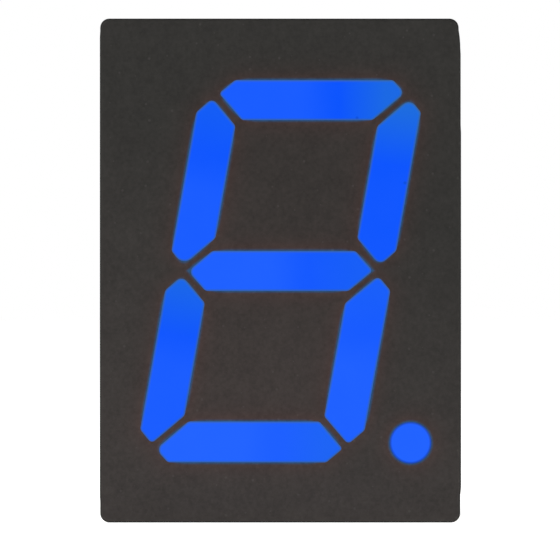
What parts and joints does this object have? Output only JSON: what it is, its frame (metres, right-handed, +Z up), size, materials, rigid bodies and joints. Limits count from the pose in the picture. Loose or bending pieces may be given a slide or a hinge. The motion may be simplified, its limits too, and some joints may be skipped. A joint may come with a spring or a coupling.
{
  "type": "seven segment display",
  "caption": "Single digit LED display with slanted blue segments and a decimal point in a dark grey face, and two rows of round pins at the back.",
  "frame": {"origin": "centre of the pin pattern, in the plane of the housing's back rim", "axes": "+X to the right across the digit, +Y from the face to the pins' ends, +Z up the digit; it stands upright on the housing's lower side, with the face towards -Y"},
  "size_m": [0.0126, 0.014, 0.0174],
  "materials": {
    "housing": "moulded polycarbonate, off-white at the sides and back, with satin dark grey ink printed over the face",
    "lens": "milky epoxy, flush with the face, lit blue from behind",
    "chip": "polished sapphire",
    "wire": "drawn bond wire",
    "board": "glass-fibre laminate with green resist",
    "copper": "rolled copper foil under resist, bare at its pads",
    "pin": "tinned round wire",
    "solder": "bright solder",
    "potting": "hazy clear epoxy with a smooth surface"
  },
  "bodies": {
    "root": {"housing": "housing", "lens_a": "lens", "lens_b": "lens", "lens_c": "lens", "lens_d": "lens", "lens_e": "lens", "lens_f": "lens", "lens_g": "lens", "lens_point": "lens", "chip_a": "chip", "chip_b": "chip", "chip_c": "chip", "chip_d": "chip", "chip_e": "chip", "chip_f": "chip", "chip_g": "chip", "chip_point": "chip", "wires_a": "wire", "wires_b": "wire", "wires_c": "wire", "wires_d": "wire", "wires_e": "wire", "wires_f": "wire", "wires_g": "wire", "wires_point": "wire", "circuit_board": "board", "segment_tracks": "copper", "common_track": "copper", "pin_1": "pin", "pin_2": "pin", "pin_3": "pin", "pin_4": "pin", "pin_5": "pin", "pin_6": "pin", "pin_7": "pin", "pin_8": "pin", "pin_9": "pin", "pin_10": "pin", "solder_1": "solder", "solder_2": "solder", "solder_3": "solder", "solder_4": "solder", "solder_5": "solder", "solder_6": "solder", "solder_7": "solder", "solder_8": "solder", "solder_9": "solder", "solder_10": "solder", "potting": "potting"}
  },
  "joints": []
}
